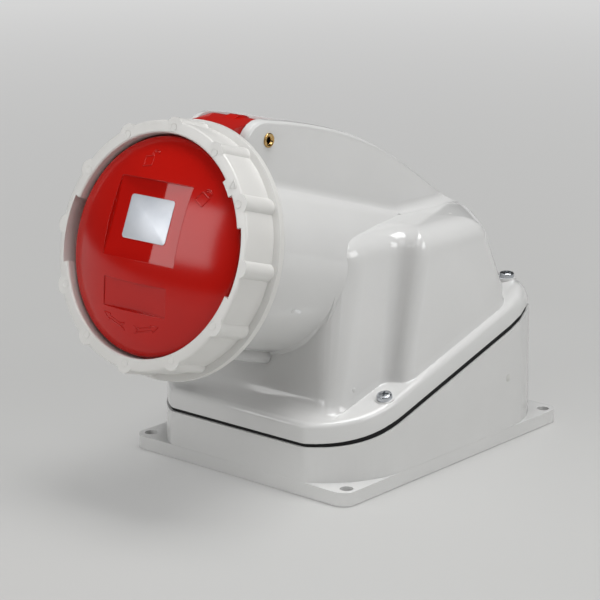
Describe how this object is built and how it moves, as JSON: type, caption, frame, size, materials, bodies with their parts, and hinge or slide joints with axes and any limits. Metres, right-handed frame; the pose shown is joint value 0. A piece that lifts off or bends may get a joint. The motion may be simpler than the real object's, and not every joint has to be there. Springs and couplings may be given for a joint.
{
  "type": "surface-mounted industrial socket outlet",
  "caption": "Surface-mounted power socket outlet: box base with flange, sloping hood, inclined round barrel, hinged domed red lid and bayonet locking ring.",
  "frame": {"origin": "centre of the four fixing holes, on the wall face", "axes": "+Z out of the wall, -Y the way the mouth faces, X across the width"},
  "size_m": [0.142, 0.2549, 0.187],
  "materials": {
    "housing_grey": "light grey moulded plastic, glossy",
    "ring_white": "warm white moulded plastic, satin",
    "lid_red": "red moulded plastic, glossy",
    "seal_black": "black rubber",
    "screw_zinc": "bright zinc plate",
    "brass": "plain brass",
    "carrier_dark": "dark grey moulded plastic"
  },
  "bodies": {
    "housing": {"mounting_base": "housing_grey", "cover_gasket": "seal_black", "hood": "housing_grey", "cover_screws": "screw_zinc", "screw_inserts": "brass", "hinge_pin": "brass", "contact_carrier": "carrier_dark", "clamp_plate": "carrier_dark", "carrier_seal": "seal_black", "carrier_screws": "screw_zinc", "contact_retainer": "carrier_dark", "retainer_screws": "screw_zinc", "line_contact_1": "brass", "line_contact_2": "brass", "line_contact_3": "brass", "neutral_contact": "brass", "earth_contact": "brass", "pilot_contact": "brass", "terminal_screws": "screw_zinc"},
    "lid": {"lid": "lid_red", "lid_seal": "seal_black"},
    "ring": {"locking_ring": "ring_white"}
  },
  "joints": [
    {"name": "lid_hinge", "type": "hinge", "parent": "housing", "child": "lid", "pos_m": [0, -0.08795, 0.17206], "axis": [-1, 0, 0], "range_deg": [0, 110]},
    {"name": "ring_turn", "type": "hinge", "parent": "lid", "child": "ring", "pos_m": [0, -0.1478, 0.1288], "axis": [0, 0.9593, -0.2823], "range_deg": [0, 40]}
  ]
}
